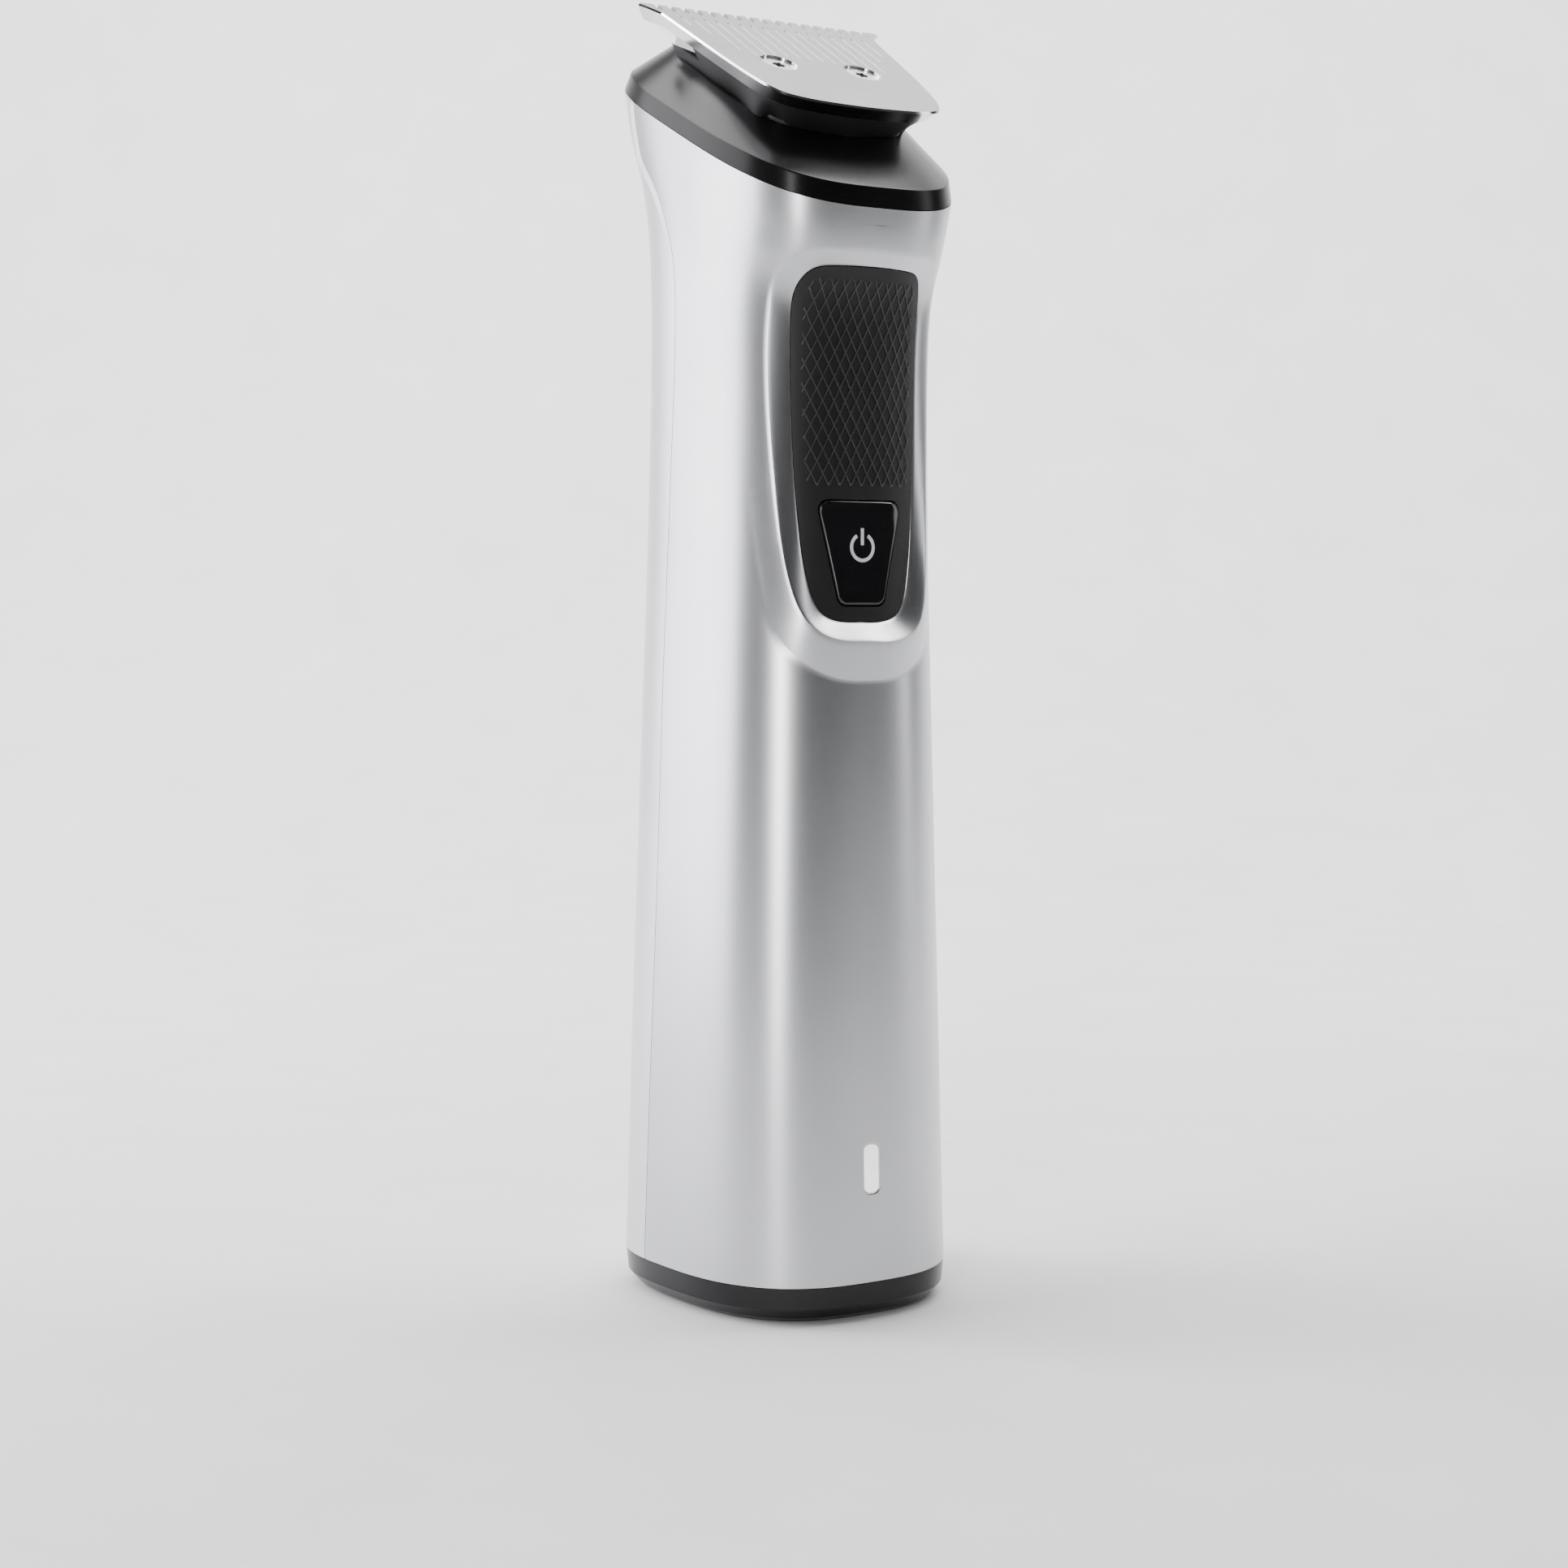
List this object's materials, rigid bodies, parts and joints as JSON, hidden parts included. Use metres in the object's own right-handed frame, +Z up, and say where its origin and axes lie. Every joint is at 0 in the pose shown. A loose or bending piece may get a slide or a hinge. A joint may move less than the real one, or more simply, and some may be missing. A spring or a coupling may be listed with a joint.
{
  "type": "beard trimmer",
  "caption": "Cordless beard trimmer with a steel handle, tilted black collar, pull-off comb blade head, grip panel and push button.",
  "frame": {"origin": "centre of the base, on the resting face", "axes": "+Z up along the handle to the head, -Y the front with the button, +X to the right of someone facing the front"},
  "size_m": [0.0368, 0.0395, 0.1581],
  "materials": {
    "satin_steel": "satin brushed",
    "silver_plastic": "satin silver coat",
    "gloss_black": "polished black",
    "satin_black": "satin black",
    "dark_rubber": "matt",
    "matt_black": "fine matt texture",
    "nickel": "nickel plate",
    "soft_black": "soft touch",
    "icon_silver": "light silver",
    "light_guide": "milky clear",
    "spring_steel": "bright",
    "blade_steel": "ground, polished rim",
    "screw_steel": "plain",
    "natural_plastic": "natural acetal",
    "motor_steel": "zinc plate",
    "brass_parts": "plain",
    "ferrite": "matt grey",
    "bronze": "sintered",
    "copper_wire": "enamelled",
    "grey_plastic": "moulded",
    "cell_wrap": "shrink sleeve",
    "board_green": "solder mask",
    "chip_black": "moulded",
    "lead_red": "soft sleeve"
  },
  "bodies": {
    "handle": {"front_shell": "satin_steel", "rear_shell": "silver_plastic", "collar": "gloss_black", "base_cap": "satin_black", "base_seal": "dark_rubber", "charging_socket": "matt_black", "charging_pins": "nickel", "grip_panel": "soft_black", "led_window": "light_guide", "head_clip": "spring_steel", "shaft_seal": "dark_rubber", "motor_can": "motor_steel", "motor_end_cap": "matt_black", "motor_terminals": "brass_parts", "motor_magnets": "ferrite", "motor_bushes": "bronze", "motor_mount": "grey_plastic", "motor_screws": "screw_steel", "battery_cell": "cell_wrap", "battery_tabs": "nickel", "chassis": "grey_plastic", "circuit_board": "board_green", "chassis_screws": "screw_steel", "board_components": "chip_black", "tact_switch": "chip_black", "status_led": "light_guide", "button_seal": "dark_rubber", "charge_springs": "nickel", "motor_wires": "lead_red", "battery_wires": "lead_red"},
    "button": {"power_button": "gloss_black", "power_icon": "icon_silver", "switch_plunger": "natural_plastic"},
    "rotor": {"motor_shaft": "spring_steel", "armature_core": "motor_steel", "armature_coils": "copper_wire", "commutator": "copper_wire", "drive_hub": "natural_plastic", "drive_pin": "spring_steel"},
    "head": {"guard_plate": "blade_steel", "blade_screws": "screw_steel", "head_frame": "matt_black", "tension_spring": "spring_steel"},
    "cutter": {"moving_blade": "blade_steel", "blade_carrier": "natural_plastic"}
  },
  "joints": [
    {"name": "power_button_press", "type": "slide", "parent": "handle", "child": "button", "axis": [0, 1, 0], "range_m": [0, 0.0006], "stiffness_N_per_m": 2500},
    {"name": "rotor_spin", "type": "hinge", "parent": "handle", "child": "rotor", "pos_m": [0, 0.002, 0.12], "axis": [0, 0, 1], "continuous": true},
    {"name": "head_release", "type": "slide", "parent": "handle", "child": "head", "axis": [0, -0.509, 0.8607], "range_m": [0, 0.025]},
    {"name": "cutter_slide", "type": "slide", "parent": "head", "child": "cutter", "axis": [1, 0, 0], "range_m": [-0.0009, 0.0009]}
  ]
}
